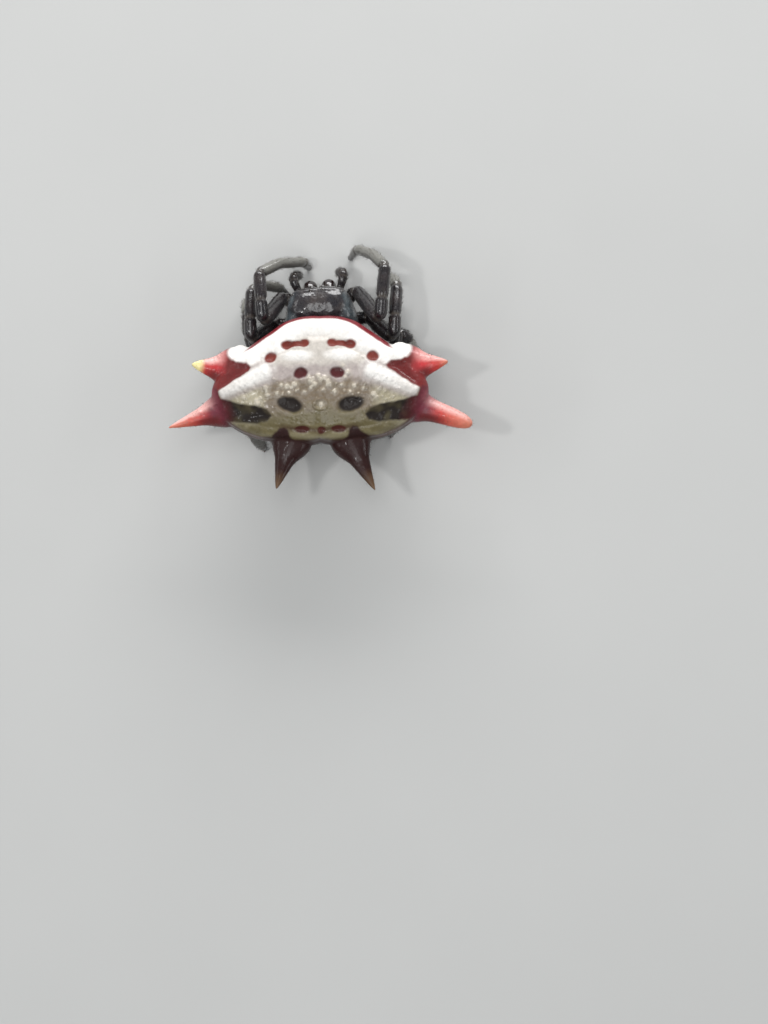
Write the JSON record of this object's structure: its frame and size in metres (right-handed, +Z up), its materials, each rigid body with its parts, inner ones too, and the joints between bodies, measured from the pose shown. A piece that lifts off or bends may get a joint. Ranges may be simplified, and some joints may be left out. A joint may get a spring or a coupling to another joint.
{
  "type": "spiny orb weaver spider",
  "caption": "Life-size still model of a female spiny orb weaver: a wide white shield edged with red spines, a black head and curled black legs.",
  "frame": {"origin": "on the floor, under the middle of the box around the whole spider", "axes": "+Y runs towards the head, +X to the spider's own right, across the span of the side spines, +Z up from the floor"},
  "size_m": [0.013, 0.0114, 0.0045],
  "materials": {
    "abdomen_shell": "hard waxy white shell with dark pits, red spines",
    "spinneret_skin": "soft brown skin",
    "black_shell": "glossy black with a grey sheen",
    "leg_shell": "glossy black with fine grey hairs",
    "eye_lens": "polished black",
    "jaw_shell": "glossy dark brown"
  },
  "bodies": {
    "root": {"abdomen": "abdomen_shell", "spinnerets": "spinneret_skin", "pedicel": "black_shell", "cephalothorax": "black_shell", "chelicera_left": "jaw_shell", "palp_left": "leg_shell", "eye_front_median_left": "eye_lens", "eye_rear_median_left": "eye_lens", "eye_front_lateral_left": "eye_lens", "eye_rear_lateral_left": "eye_lens", "leg_1_left": "leg_shell", "leg_2_left": "leg_shell", "leg_3_left": "leg_shell", "leg_4_left": "leg_shell", "chelicera_right": "jaw_shell", "palp_right": "leg_shell", "eye_front_median_right": "eye_lens", "eye_rear_median_right": "eye_lens", "eye_front_lateral_right": "eye_lens", "eye_rear_lateral_right": "eye_lens", "leg_1_right": "leg_shell", "leg_2_right": "leg_shell", "leg_3_right": "leg_shell", "leg_4_right": "leg_shell"}
  },
  "joints": []
}
